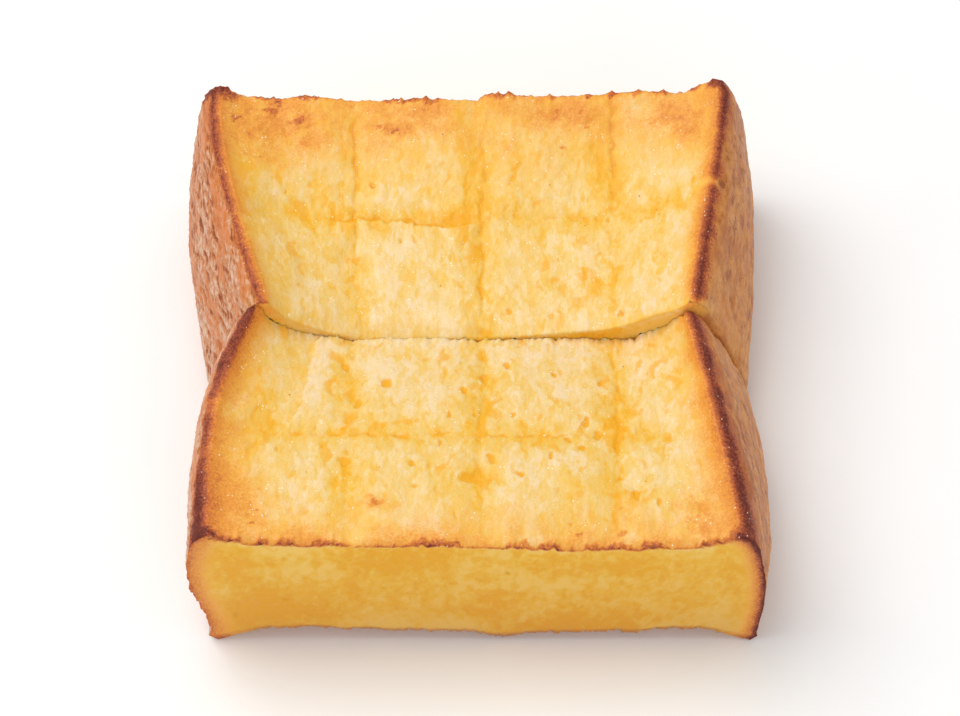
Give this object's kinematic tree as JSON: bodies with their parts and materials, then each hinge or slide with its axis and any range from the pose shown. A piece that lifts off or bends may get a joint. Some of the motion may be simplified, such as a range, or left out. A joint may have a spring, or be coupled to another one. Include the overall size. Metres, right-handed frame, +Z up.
{
  "type": "french toast",
  "caption": "Thick square slab of soaked and baked bread with a scored, sunken top and browned side crusts, cut across into halves that lie together.",
  "frame": {"origin": "middle of the slab's footprint, on the surface that it rests on", "axes": "+Z up out of the scored top, +X across the slab from crust to crust, +Y from the front cut face to the back one"},
  "size_m": [0.1336, 0.122, 0.0484],
  "materials": {
    "toasted_bread": "moist golden crumb, toasted along its top edges, with orange-brown crust on two sides"
  },
  "bodies": {
    "root": {"toast_rear_half": "toasted_bread", "toast_front_half": "toasted_bread"}
  },
  "joints": []
}
